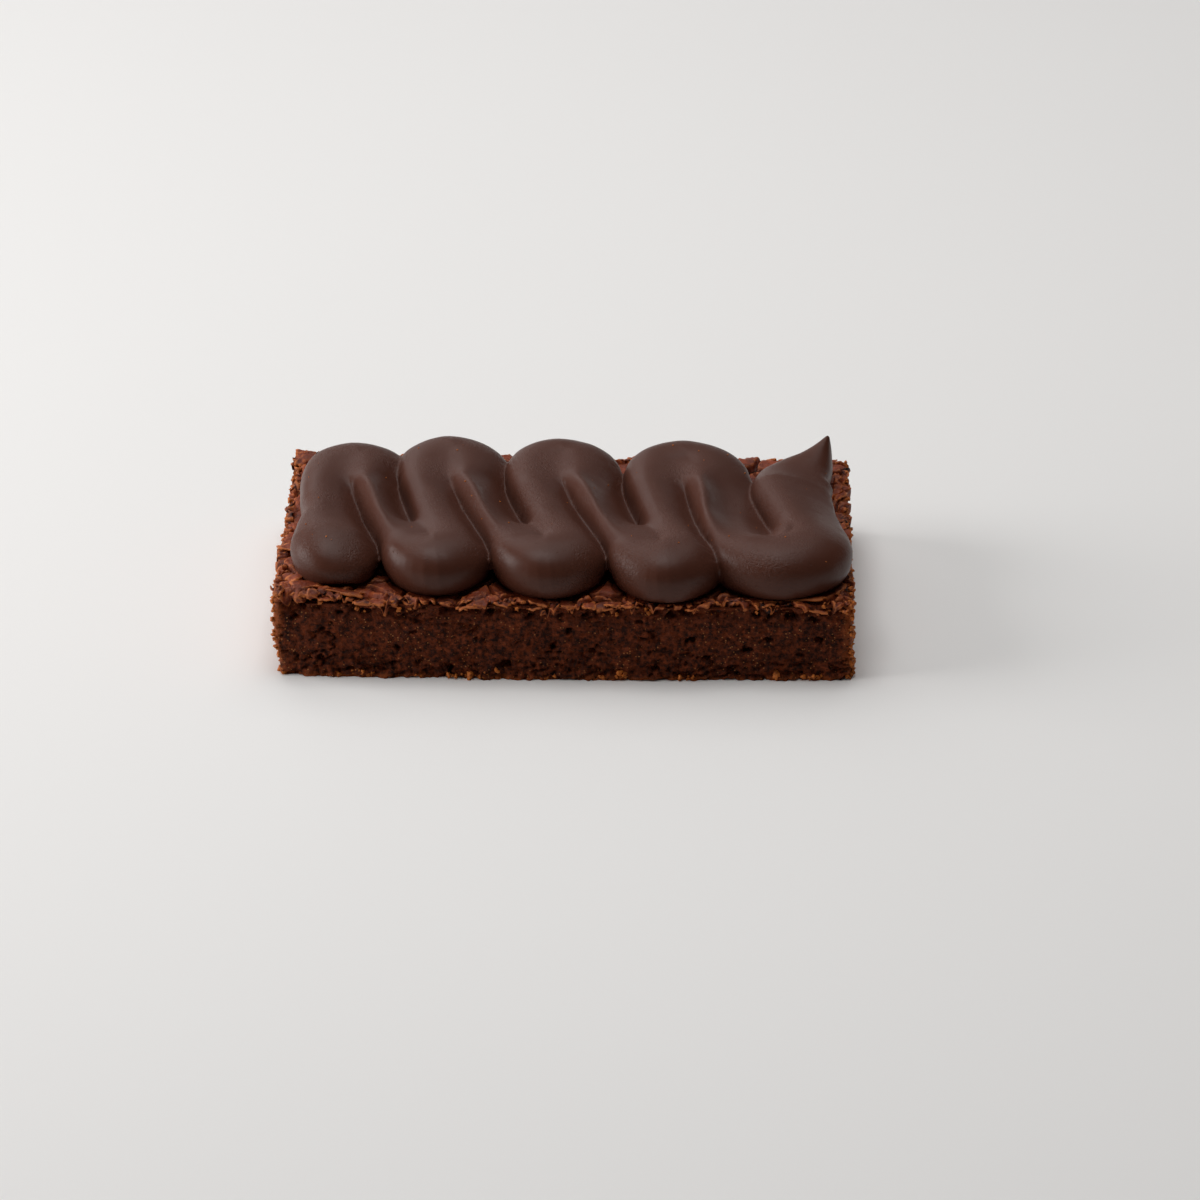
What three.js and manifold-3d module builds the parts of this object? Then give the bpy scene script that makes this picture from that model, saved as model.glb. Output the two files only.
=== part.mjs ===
// A rectangular bar of chocolate brownie with one ribbon of ganache piped along it.
// Millimetres, +Z up. The bar lies along X with its flat underside on Z = 0.
// The camera side of the bar, its front, is towards -Y.
import * as THREE from 'three';
import { mergeVertices } from 'three/addons/utils/BufferGeometryUtils.js';
import Module from 'manifold-3d';

const wasm = await Module();
wasm.setup();

// Sizes of the bar
const BAR_LENGTH = 131;
const BAR_WIDTH = 77.2;
const BAR_HEIGHT = 19;
const FRONT_SHIFT = 0.6;
const FRONT_BOW = 1.2;
const BAR_COLUMNS = 60;
const BAR_ROWS = 24;
const BAR_LAYERS = 8;
const EDGE_CROWDING = { x: 0.35, y: 0.55, z: 0.5 };
const TRIM_DEPTH = 1.2;

// Relief of the bar: papery crust on top, dense crumb on the cut faces
const PLATE_SIZE = 7.5;
const PLATE_LIFT = 0.8;
const CRACK_DEPTH = 0.9;
const CRACK_WIDTH = 1.1;
const LIP_OVERHANG = 0.55;
const LIP_THICKNESS = 1.5;
const RECESS_DEPTH = 0.6;
const RECESS_BELOW_TOP = 2.6;
const RECESS_SPREAD = 0.9;
const CRUMB_RELIEF = { depth: 0.55, coarse: 5.2, fine: 2.4 };
const FOOT_CRUMBS = 0.6;
const FOOT_HEIGHT = 1.6;
const CORNER_ROUNDING = 0.9;
const WORN_CORNER_ROUNDING = 2.6;
const LEFT_FOOT_INSET = { depth: 1.7, height: 9 };
const LEFT_CORNER_RISE = 1.9;
const BACK_CORNER_RISE = 1.5;
const RIGHT_CORNER_DROP = 1.3;

// The ribbon rests on the crust with this clearance
const CONTACT_GAP = 0.3;
const CLEAR_MARGIN = 3.6;

// The ribbon's centre line turns round these points, alternately at the back and the front.
// half is half the width of the turn and reach how far it runs beyond the point. web is how far
// the ganache has run together on the inside of the turn. side is -1 at the back, 1 at the front
const TURNS = [
  { x: -49.4, y: 14.4, half: 4.4, reach: 5.2, side: -1, web: 13 },
  { x: -28.6, y: -22.6, half: 4.0, reach: 6.2, side: 1, web: 9 },
  { x: -26.8, y: 17.1, half: 4.7, reach: 6.2, side: -1, web: 10 },
  { x: -3.2, y: -23.0, half: 4.9, reach: 6.8, side: 1, web: 9 },
  { x: -1.0, y: 16.0, half: 5.2, reach: 6.6, side: -1, web: 12 },
  { x: 23.2, y: -24.7, half: 4.6, reach: 6.6, side: 1, web: 9 },
  { x: 27.8, y: 14.7, half: 6.2, reach: 7.4, side: -1, web: 11 },
  { x: 48.6, y: -21.1, half: 8.2, reach: 8.2, side: 1, web: 7 },
];
const TURN_OUTLINE = [[-1, 0], [-0.74, 0.66], [0, 1], [0.74, 0.66], [1, 0]];
const RIBBON_START = [[-51.6, -22.5], [-52.6, -11.0]];
const RIBBON_TAIL = [[53.0, 0.0], [51.8, 9.0], [53.4, 16.5], [57.0, 22.5], [60.6, 29.0]];

// Section of the ribbon
const HALF_WIDTH = 8.1;
const RIBBON_HEIGHT = 10.4;
const WIDEST_AT = 0.42;
const STATION_STEP = 3.6;
const STATION_TURN = 0.24;
const UNDERCUT = 0.75;
const WEB_HALF_WIDTH = 5.4;
const WEB_HEIGHT = { front: 1.06, back: 1.0 };
const BACK_WEB_SHIFT = -1;
const SECTION_SIDES = 18;
const CROWN = { height: 0.6, roundness: 0.95, pivot: 0.35 };
const START_SWELL = { width: 1.3, height: 0.6, length: 9 };
const CAP_RINGS = 4;
const TURN_SWELL = { width: 0.7, height: 0.9 };
const WAIST = { width: 0.9, at: 15, spread: 6 };
const LEAN = { towardsFront: 0.40, towardsBack: 0.08 };
const LEAN_ABOVE = 2;
const TILT = { towardsFront: 0.66, towardsBack: -0.25 };
const LEVELLING = { front: 0.6, back: 0.55 };
const TURN_ZONE = { front: [8, 30], back: [2, 22] };
const TAIL_SWELL = { width: 1.0, at: 26, spread: 9 };
const TAIL_TAPER = 17;
const TAIL_UPRIGHT = 30;
const TAIL_SINK = { length: 24, left: 0.35 };
const TIP_HALF_WIDTH = 0.15;
const PEAK_LENGTH = 22;
const PEAK_LIFT = 7;
const INNER_TURN_MARGIN = 0.35;

// Corners nearer than this are one corner
const WELD_DISTANCE = 0.001;

const clamp = THREE.MathUtils.clamp;
const smooth = THREE.MathUtils.smoothstep;

// A repeatable number from 0 to 1 for a lattice point
function lattice(i, j, k, seed) {
  const wave = Math.sin(i * 127.1 + j * 311.7 + k * 74.7 + seed * 53.3) * 43758.5453;
  return wave - Math.floor(wave);
}

// Smooth lumps from -1 to 1 whose size is about one cell
function lumps(x, y, z, cell, seed) {
  const [u, v, w] = [x / cell, y / cell, z / cell];
  const [i, j, k] = [Math.floor(u), Math.floor(v), Math.floor(w)];
  const [fx, fy, fz] = [smooth(u - i, 0, 1), smooth(v - j, 0, 1), smooth(w - k, 0, 1)];
  let sum = 0;
  for (const a of [0, 1]) {
    for (const b of [0, 1]) {
      for (const c of [0, 1]) {
        const share = (a ? fx : 1 - fx) * (b ? fy : 1 - fy) * (c ? fz : 1 - fz);
        sum += share * lattice(i + a, j + b, k + c, seed);
      }
    }
  }
  return 2 * sum - 1;
}

// The crust is broken into plates: each has its own height, with a crack between two
function crustPlate(x, y) {
  const [i, j] = [Math.floor(x / PLATE_SIZE), Math.floor(y / PLATE_SIZE)];
  let nearest = { distance: Infinity, lift: 0 };
  let second = Infinity;
  for (let a = i - 1; a <= i + 1; a += 1) {
    for (let b = j - 1; b <= j + 1; b += 1) {
      const cx = (a + 0.2 + 0.6 * lattice(a, b, 0, 3)) * PLATE_SIZE;
      const cy = (b + 0.2 + 0.6 * lattice(a, b, 0, 5)) * PLATE_SIZE;
      const distance = Math.hypot(x - cx, y - cy);
      if (distance < nearest.distance) {
        second = nearest.distance;
        nearest = { distance, lift: lattice(a, b, 0, 7) - 0.35 };
      } else {
        second = Math.min(second, distance);
      }
    }
  }
  const crack = Math.exp(-(((second - nearest.distance) / CRACK_WIDTH) ** 2));
  return PLATE_LIFT * nearest.lift - CRACK_DEPTH * crack;
}

// Centre line of the ribbon, walked at an even step
function centreLine() {
  const points = RIBBON_START.map(([x, y]) => new THREE.Vector3(x, y, 0));
  for (const { x, y, half, reach, side } of TURNS) {
    for (const [across, along] of TURN_OUTLINE) {
      points.push(new THREE.Vector3(x + half * across, y - side * reach * along, 0));
    }
  }
  for (const [x, y] of RIBBON_TAIL) {
    points.push(new THREE.Vector3(x, y, 0));
  }
  const curve = new THREE.CatmullRomCurve3(points, false, 'centripetal');
  curve.arcLengthDivisions = 4000;
  return curve;
}

// Places along the line, closer together where it turns, with the radius of the turn there
function stationPlaces(curve) {
  const steps = 1600;
  const step = curve.getLength() / steps;
  const places = [];
  let due = 1;
  for (let n = 0; n <= steps; n += 1) {
    const before = curve.getTangentAt(Math.max(n - 1, 0) / steps);
    const after = curve.getTangentAt(Math.min(n + 1, steps) / steps);
    const turned = Math.asin(clamp(before.x * after.y - before.y * after.x, -1, 1)) / 2;
    due += step / STATION_STEP + Math.abs(turned) / STATION_TURN;
    if (due >= 1 || n === steps) {
      places.push({ t: n / steps, turned, radius: step / Math.max(Math.abs(turned), 1e-6) });
      due = 0;
    }
  }
  return places;
}

// Every station of the ribbon: place, heading and the shape of its section there
function ribbonStations() {
  const curve = centreLine();
  const length = curve.getLength();
  const stations = [];
  for (const { t, radius, turned } of stationPlaces(curve)) {
    const along = t * length;
    const left = length - along;
    const point = curve.getPointAt(t);
    const tangent = curve.getTangentAt(t);
    const front = (1 - tangent.y) / 2;
    const frontTurn = smooth(-point.y, ...TURN_ZONE.front);
    const backTurn = smooth(point.y, ...TURN_ZONE.back);
    const start = Math.exp(-((along / START_SWELL.length) ** 2));
    const waist = Math.exp(-(((along - WAIST.at) / WAIST.spread) ** 2));
    const tail = Math.exp(-(((left - TAIL_SWELL.at) / TAIL_SWELL.spread) ** 2));
    const fading = clamp(left / TAIL_TAPER, 0, 1);
    const upright = clamp(left / TAIL_UPRIGHT, 0, 1);
    const sinking = clamp(left / TAIL_SINK.length, 0, 1) ** 0.8;

    const ends = START_SWELL.width * start - WAIST.width * waist + TAIL_SWELL.width * tail;
    const swell = TURN_SWELL.width * (frontTurn + backTurn) + ends;
    const width = (HALF_WIDTH + swell) * fading ** 0.8 + TIP_HALF_WIDTH;
    const rise = RIBBON_HEIGHT + TURN_SWELL.height * frontTurn + START_SWELL.height * start;
    const acrossFront = frontTurn * (1 - Math.abs(tangent.y));
    const level = 1 - LEVELLING.front * acrossFront - LEVELLING.back * backTurn;
    const inner = Math.min(width, Math.max(radius - INNER_TURN_MARGIN, 0.6));
    stations.push({
      point,
      tangent,
      leftWidth: turned > 0 ? inner : width,
      rightWidth: turned < 0 ? inner : width,
      width,
      height: rise * (TAIL_SINK.left + (1 - TAIL_SINK.left) * sinking),
      lean: THREE.MathUtils.lerp(LEAN.towardsBack, LEAN.towardsFront, front) * upright,
      tilt: THREE.MathUtils.lerp(TILT.towardsBack, TILT.towardsFront, front) * level,
      lift: PEAK_LIFT * clamp(1 - left / PEAK_LENGTH, 0, 1) ** 2.2,
    });
  }
  return stations;
}

// One closed outline of the ribbon: rounded over, high on one side, leaning towards -X
function sectionRing(station) {
  const { point, tangent, height, lean, tilt, lift } = station;
  const ring = [];
  for (let n = 0; n < SECTION_SIDES; n += 1) {
    const angle = (2 * Math.PI * n) / SECTION_SIDES;
    const across = Math.cos(angle);
    const up = Math.sin(angle);
    const offset = across * (across > 0 ? station.leftWidth : station.rightWidth);
    const slope = 1 - tilt * (across + CROWN.pivot);
    const z = up > 0
      ? height * (WIDEST_AT + CROWN.height * up ** CROWN.roundness * slope)
      : height * (WIDEST_AT + UNDERCUT * up);
    const x = point.x - tangent.y * offset - lean * Math.max(z - LEAN_ABOVE, 0);
    const y = point.y + tangent.x * offset;
    const raised = BAR_HEIGHT + z + lift * clamp(up * 0.5 + 0.5, 0, 1);
    ring.push(new THREE.Vector3(x, y, raised));
  }
  return ring;
}

// Rings that close the rounded start of the ribbon, smallest first
function startCap(station) {
  const outline = sectionRing(station);
  const centre = new THREE.Vector3(station.point.x, station.point.y,
    BAR_HEIGHT + WIDEST_AT * station.height);
  const rings = [];
  for (let n = 0; n < CAP_RINGS; n += 1) {
    const angle = (Math.PI / 2) * ((n + 0.5) / CAP_RINGS);
    const behind = station.tangent.clone().multiplyScalar(-station.width * Math.cos(angle));
    rings.push(outline.map((p) => p.clone().sub(centre).multiplyScalar(Math.sin(angle))
      .add(centre).add(behind)));
  }
  return rings;
}

// A closed skin over a run of rings, with a fan over each end
function skinOver(rings) {
  const sides = rings[0].length;
  const positions = [];
  const faces = [];
  for (const ring of rings) {
    for (const p of ring) {
      positions.push(p.x, p.y, p.z);
    }
  }
  for (let r = 0; r + 1 < rings.length; r += 1) {
    for (let s = 0; s < sides; s += 1) {
      const [a, b] = [r * sides + s, r * sides + ((s + 1) % sides)];
      const [c, d] = [a + sides, b + sides];
      faces.push(a, b, c, b, d, c);
    }
  }
  const ends = [[rings[0], 0, -1], [rings.at(-1), (rings.length - 1) * sides, 1]];
  for (const [ring, first, turn] of ends) {
    const middle = ring.reduce((sum, p) => sum.add(p), new THREE.Vector3()).divideScalar(sides);
    const hub = positions.length / 3;
    positions.push(middle.x, middle.y, middle.z);
    for (let s = 0; s < sides; s += 1) {
      const pair = [first + s, first + ((s + 1) % sides)];
      faces.push(hub, ...(turn > 0 ? pair : pair.reverse()));
    }
  }
  const geometry = new THREE.BufferGeometry();
  geometry.setAttribute('position', new THREE.Float32BufferAttribute(positions, 3));
  geometry.setIndex(faces);
  return geometry;
}

function toSolid(geometry) {
  const bare = geometry.clone();
  bare.deleteAttribute('normal');
  bare.deleteAttribute('uv');
  const welded = mergeVertices(bare, 1e-4);
  return new wasm.Manifold(new wasm.Mesh({
    numProp: 3,
    vertProperties: Float32Array.from(welded.attributes.position.array),
    triVerts: Uint32Array.from(welded.index.array),
  }));
}

// Back to a mesh, with the slivers that a cut leaves welded away
function toGeometry(solid) {
  const mesh = solid.getMesh();
  const cut = new THREE.BufferGeometry();
  cut.setAttribute('position', new THREE.Float32BufferAttribute(mesh.vertProperties, 3));
  cut.setIndex(Array.from(mesh.triVerts));
  const geometry = mergeVertices(cut, WELD_DISTANCE);
  const corners = geometry.index.array;
  const kept = [];
  for (let n = 0; n < corners.length; n += 3) {
    const [a, b, c] = corners.slice(n, n + 3);
    if (a !== b && b !== c && c !== a) {
      kept.push(a, b, c);
    }
  }
  geometry.setIndex(kept);
  geometry.computeVertexNormals();
  return geometry;
}

// Cuts away everything lower than a level, which leaves a flat underside
function cutFlatBelow(solid, level) {
  const depth = 40;
  const block = new THREE.BoxGeometry(4 * BAR_LENGTH, 4 * BAR_WIDTH, depth);
  block.translate(0, 0, level - depth / 2);
  return solid.subtract(toSolid(block));
}

// Where two strokes leave a turn, the ganache between them has run together
function innerWeb({ x, y, side, web }) {
  const ball = new THREE.SphereGeometry(1, 16, 12);
  const height = RIBBON_HEIGHT * (side > 0 ? WEB_HEIGHT.front : WEB_HEIGHT.back);
  ball.scale(WEB_HALF_WIDTH, web, height);
  ball.translate(side < 0 ? x + BACK_WEB_SHIFT : x, y, BAR_HEIGHT);
  return ball;
}

// The strokes between two turns are solids of their own, joined where they lie on each other
function ribbonSolid(stations) {
  const peaks = [0];
  for (let n = 1; n + 1 < stations.length; n += 1) {
    const before = stations[n - 1].point.y;
    const here = stations[n].point.y;
    const after = stations[n + 1].point.y;
    const isTurn = (here > before && here >= after) || (here < before && here <= after);
    if (isTurn && Math.abs(here) > 15) {
      peaks.push(n);
    }
  }
  peaks.push(stations.length - 1);

  let ribbon = null;
  for (let n = 0; n + 1 < peaks.length; n += 1) {
    const rings = stations.slice(peaks[n], peaks[n + 1] + 1).map(sectionRing);
    if (n === 0) {
      rings.unshift(...startCap(stations[0]));
    }
    const stroke = toSolid(skinOver(rings));
    ribbon = ribbon ? ribbon.add(stroke) : stroke;
  }
  for (const turn of TURNS) {
    ribbon = ribbon.add(toSolid(innerWeb(turn)));
  }
  return cutFlatBelow(ribbon, BAR_HEIGHT);
}

// Spreads an even grid so that its lines crowd towards the edges
function crowd(value, span, share) {
  const t = value / (span / 2);
  return (span / 2) * (share * Math.sin((Math.PI / 2) * t) + (1 - share) * t);
}

// Height of the crust before its plates: higher at both left corners, worn at the right front one
function crustLevel(x, y) {
  const front = smooth(-y, 18, 36);
  const leftCorner = smooth(-x, 38, 60) * front;
  const rightCorner = smooth(x, 52, 65) * front;
  const backCorner = smooth(-x, 54, 64) * smooth(y, 24, 37);
  const raised = LEFT_CORNER_RISE * leftCorner + BACK_CORNER_RISE * backCorner;
  return BAR_HEIGHT + raised - RIGHT_CORNER_DROP * rightCorner;
}

// Highest level that stays clear of the ribbon's rounded underside
function clearLevel(x, y, stations) {
  const bed = BAR_HEIGHT - CONTACT_GAP;
  let level = Infinity;
  for (const { point, width, height } of stations) {
    const distance = Math.hypot(x - point.x, y - point.y) - CLEAR_MARGIN;
    const share = distance / width;
    if (share < 1) {
      const curve = UNDERCUT * Math.sqrt(1 - Math.max(share, 0) ** 2);
      level = Math.min(level, bed + Math.max(height * (WIDEST_AT - curve), 0));
    }
  }
  return level;
}

// The bar: a box whose faces carry the crust's plates, its broken lip and the crumb's relief
function barSolid(stations) {
  const tall = BAR_HEIGHT + TRIM_DEPTH;
  const box = new THREE.BoxGeometry(BAR_LENGTH, BAR_WIDTH, tall, BAR_COLUMNS, BAR_ROWS, BAR_LAYERS);
  box.deleteAttribute('normal');
  box.deleteAttribute('uv');
  const geometry = mergeVertices(box, 1e-4);
  const position = geometry.attributes.position;
  const halfLength = BAR_LENGTH / 2;
  const halfWidth = BAR_WIDTH / 2;
  for (let n = 0; n < position.count; n += 1) {
    const x = crowd(position.getX(n), BAR_LENGTH, EDGE_CROWDING.x);
    const y = crowd(position.getY(n), BAR_WIDTH, EDGE_CROWDING.y);
    const flat = crowd(position.getZ(n), tall, EDGE_CROWDING.z) + tall / 2 - TRIM_DEPTH;
    const share = clamp(flat / BAR_HEIGHT, -1, 1);
    const level = crustLevel(x, y);
    const onTop = flat > BAR_HEIGHT - 1e-3;
    const sideX = Math.abs(x) > halfLength - 1e-3 ? Math.sign(x) : 0;
    const sideY = Math.abs(y) > halfWidth - 1e-3 ? Math.sign(y) : 0;

    let z = flat + (level - BAR_HEIGHT) * Math.max(share, 0) ** 2;
    if (onTop) {
      z += crustPlate(x, y) + 0.25 * lumps(x, y, 0, 3, 11);
      z -= sideX || sideY ? 0.35 : 0;
      z = Math.min(z, clearLevel(x, y, stations));
    }

    const depth = BAR_HEIGHT - flat;
    const lip = LIP_OVERHANG * (1 - smooth(depth, LIP_THICKNESS * 0.6, LIP_THICKNESS * 1.6));
    const recess = RECESS_DEPTH * Math.exp(-(((depth - RECESS_BELOW_TOP) / RECESS_SPREAD) ** 2));
    const footing = 1 - smooth(flat, 0.2, FOOT_HEIGHT);
    const foot = FOOT_CRUMBS * footing * (0.5 + 0.5 * lumps(x, y, 0, 4, 17));
    const coarse = 0.6 * lumps(x, y, flat, CRUMB_RELIEF.coarse, 23);
    const fine = 0.4 * lumps(x, y, flat, CRUMB_RELIEF.fine, 29);
    const crumb = CRUMB_RELIEF.depth * (coarse + fine);
    const bow = sideY < 0 ? FRONT_BOW * (1 - (x / halfLength) ** 2) : 0;
    const outward = bow + crumb + lip * (1 + 0.9 * lumps(x, y, 0, 3.1, 31)) - recess + foot;
    const corner = sideX && sideY ? Math.SQRT1_2 : 1;
    const rounding = sideX > 0 && sideY > 0 ? WORN_CORNER_ROUNDING : CORNER_ROUNDING;
    const inset = sideX && sideY ? rounding : 0;
    const leaning = LEFT_FOOT_INSET.depth * (1 - smooth(flat, 0, LEFT_FOOT_INSET.height));
    const footInset = sideX < 0 ? leaning : 0;
    const push = (outward - inset) * corner;
    position.setXYZ(n, x + sideX * (push - footInset), y + sideY * push, z);
  }

  // The rim is brought back to the bar's length and width
  geometry.computeBoundingBox();
  const size = geometry.boundingBox.getSize(new THREE.Vector3());
  const middle = geometry.boundingBox.getCenter(new THREE.Vector3());
  geometry.translate(-middle.x, -middle.y, 0);
  geometry.scale(BAR_LENGTH / size.x, BAR_WIDTH / size.y, 1);
  geometry.translate(0, -FRONT_SHIFT, 0);
  return cutFlatBelow(toSolid(geometry), 0);
}

function named(name, solid, colour, roughness) {
  const material = new THREE.MeshStandardMaterial({ color: colour, roughness, metalness: 0 });
  material.name = name;
  const mesh = new THREE.Mesh(toGeometry(solid), material);
  mesh.name = name;
  return mesh;
}

const stations = ribbonStations();
const ribbon = ribbonSolid(stations);
const bar = barSolid(stations);

const brownie = new THREE.Group();
brownie.name = 'chocolate_brownie';
brownie.add(named('brownie', bar, 0x4a2517, 0.85));
brownie.add(named('ganache', ribbon, 0x3f2a26, 0.42));

// The origin is the middle of the whole, on its underside
const whole = new THREE.Box3().setFromObject(brownie);
const centre = whole.getCenter(new THREE.Vector3());
for (const mesh of brownie.children) {
  mesh.geometry.translate(-centre.x, -centre.y, 0);
}

export default brownie;
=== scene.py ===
"""A bar of chocolate brownie with piped ganache, dressed for a studio picture.

Shapes are worked out in millimetres in the bar's own frame: X along the bar, -Y towards its
front, Z up from its underside. They are turned to metres and put in the part's frame last.
"""

import logging
import math
import random
from dataclasses import dataclass, field
from enum import Enum

import bmesh
import bpy
from mathutils import Matrix, Vector, kdtree, noise
from mathutils.bvhtree import BVHTree

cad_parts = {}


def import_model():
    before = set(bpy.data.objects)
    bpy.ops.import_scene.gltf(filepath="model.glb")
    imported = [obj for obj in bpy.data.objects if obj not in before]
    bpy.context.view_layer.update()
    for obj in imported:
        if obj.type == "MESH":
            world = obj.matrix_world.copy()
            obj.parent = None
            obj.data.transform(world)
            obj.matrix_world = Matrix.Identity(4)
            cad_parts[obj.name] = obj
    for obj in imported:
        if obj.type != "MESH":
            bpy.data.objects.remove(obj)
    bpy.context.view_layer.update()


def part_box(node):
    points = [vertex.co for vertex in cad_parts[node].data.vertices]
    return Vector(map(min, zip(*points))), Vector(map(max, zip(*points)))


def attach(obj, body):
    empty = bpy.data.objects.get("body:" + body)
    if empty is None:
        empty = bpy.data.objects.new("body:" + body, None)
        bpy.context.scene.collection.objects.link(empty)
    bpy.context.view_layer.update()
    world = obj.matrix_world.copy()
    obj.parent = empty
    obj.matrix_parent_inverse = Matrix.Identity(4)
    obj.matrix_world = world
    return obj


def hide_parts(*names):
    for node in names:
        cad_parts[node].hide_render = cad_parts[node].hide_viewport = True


log = logging.getLogger("brownie")
MM = 0.001


def linear(colour: str) -> tuple[float, float, float, float]:
    """Turn an sRGB colour to the linear one that the shaders take.

    Args:
        colour: the colour as six hex digits after a hash.

    Returns:
        Red, green, blue and an alpha of one.
    """
    parts = [int(colour[i:i + 2], 16) / 255 for i in (1, 3, 5)]
    red, green, blue = [c / 12.92 if c <= 0.04045 else ((c + 0.055) / 1.055) ** 2.4 for c in parts]
    return red, green, blue, 1.0


def clamp(value: float, low: float = 0.0, high: float = 1.0) -> float:
    """Keep a value between two limits."""
    return max(low, min(high, value))


def rise(value: float, low: float, high: float) -> float:
    """Go smoothly from 0 at low to 1 at high."""
    t = clamp((value - low) / (high - low))
    return t * t * (3 - 2 * t)


def lumps(point: Vector, size: float, seed: float = 0.0) -> float:
    """Give smooth lumps of about one size, from -1 to 1."""
    return noise.noise(point / size + Vector((seed, seed * 1.7, seed * 0.6)))


def linked(name: str, data: bpy.types.ID) -> bpy.types.Object:
    """Make an object of its data and put it in the scene."""
    thing = bpy.data.objects.new(name, data)
    bpy.context.scene.collection.objects.link(thing)
    return thing


def join(bm: bmesh.types.BMesh, part: bmesh.types.BMesh) -> None:
    """Add a small part to a bmesh.

    Args:
        bm: what the part is added to.
        part: the part, freed here.
    """
    mesh = bpy.data.meshes.new("part")
    part.to_mesh(mesh)
    part.free()
    bm.from_mesh(mesh)
    bpy.data.meshes.remove(mesh)


def soften(bm: bmesh.types.BMesh, verts: list[bmesh.types.BMVert], factor: float = 0.5) -> None:
    """Smooth vertices once, along all three axes.

    Args:
        bm: the skin.
        verts: its vertices to smooth.
        factor: how far each goes towards its neighbours' middle.
    """
    bmesh.ops.smooth_vert(bm, verts=verts, factor=factor, use_axis_x=True, use_axis_y=True, use_axis_z=True)


def close(bm: bmesh.types.BMesh) -> None:
    """Close a shell's open ends and turn its faces outwards."""
    bmesh.ops.holes_fill(bm, edges=[e for e in bm.edges if e.is_boundary], sides=0)
    bmesh.ops.triangulate(bm, faces=[f for f in bm.faces if len(f.verts) > 4])
    bmesh.ops.recalc_face_normals(bm, faces=bm.faces)


@dataclass(frozen=True)
class Place:
    """Where the bar's own frame lies in the part's frame.

    Args:
        shift: the move from the bar's frame to the part's frame, in millimetres.
    """

    shift: Vector
    front_shift = 0.6

    @classmethod
    def from_part(cls) -> "Place":
        """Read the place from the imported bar, whose box is centred on the bar's frame.

        Returns:
            The place.
        """
        low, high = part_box("brownie")
        middle = Vector(((low[0] + high[0]) / 2, (low[1] + high[1]) / 2, 0)) / MM
        return cls(middle + Vector((0, cls.front_shift, 0)))

    def matrix(self) -> Matrix:
        """Give the transform from millimetres in the bar's frame to metres in the part's."""
        return Matrix.Scale(MM, 4) @ Matrix.Translation(self.shift)

    def point(self, x: float, y: float, z: float) -> Vector:
        """Give one point of the bar's frame in metres in the part's frame."""
        return self.matrix() @ Vector((x, y, z))


class Finisher:
    """Turns a bmesh into a finished piece of the scene.

    Args:
        place: where the bar's frame lies.
    """

    def __init__(self, place: Place) -> None:
        self.place = place

    def piece(
        self, name: str, bm: bmesh.types.BMesh, material: bpy.types.Material, slot: str, node: str
    ) -> bpy.types.Object:
        """Make an object of a bmesh, dress it, hang it on the root body and hide the part's node that it replaces.

        Args:
            name: the piece's name.
            bm: its shape in millimetres, which is freed here.
            material: its finish.
            slot: the record's material slot it belongs to; it is not used.
            node: the node of the part that it replaces.

        Returns:
            The finished object.
        """
        bmesh.ops.transform(bm, matrix=self.place.matrix(), verts=bm.verts)
        mesh = bpy.data.meshes.new(name)
        bm.to_mesh(mesh)
        bm.free()
        mesh.shade_smooth()
        mesh.materials.append(material)
        piece = linked(name, mesh)
        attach(piece, "root")
        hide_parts(node)
        log.info("%s: %d faces", name, len(mesh.polygons))
        return piece

    @staticmethod
    def remeshed(bm: bmesh.types.BMesh, voxel: float, smoothing: int, keep: float) -> bmesh.types.BMesh:
        """Join overlapping shells into one skin and soften it.

        Args:
            bm: the shells, freed here.
            voxel: the size of a voxel in millimetres.
            smoothing: how many times the skin is smoothed.
            keep: the share of the faces that is kept.

        Returns:
            The skin.
        """
        mesh = bpy.data.meshes.new("shells")
        bm.to_mesh(mesh)
        bm.free()
        worker = linked("shells", mesh)
        remesh = worker.modifiers.new("join", "REMESH")
        remesh.mode = "VOXEL"
        remesh.voxel_size = voxel
        smooth = worker.modifiers.new("soften", "SMOOTH")
        smooth.factor = 0.5
        smooth.iterations = smoothing
        thin = worker.modifiers.new("thin", "DECIMATE")
        thin.ratio = keep
        graph = bpy.context.evaluated_depsgraph_get()
        skin = bmesh.new()
        skin.from_mesh(worker.evaluated_get(graph).to_mesh())
        bpy.data.objects.remove(worker)
        bpy.data.meshes.remove(mesh)
        return skin


@dataclass(frozen=True)
class Turn:
    """One turn of the ribbon's centre line.

    Args:
        x: where the turn's middle is along the bar.
        y: where it is across the bar.
        half: half the width of the turn.
        reach: how far the line runs beyond the middle.
        side: -1 at the back, 1 at the front.
        web: how far the ganache has run together on the inside.
    """

    x: float
    y: float
    half: float
    reach: float
    side: int
    web: float


@dataclass
class Station:
    """The ribbon's place and section at one point of its length."""

    point: Vector
    heading: Vector
    width: float
    height: float
    lean: float
    tilt: float
    ridge: float
    lift: float
    bend: float


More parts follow.
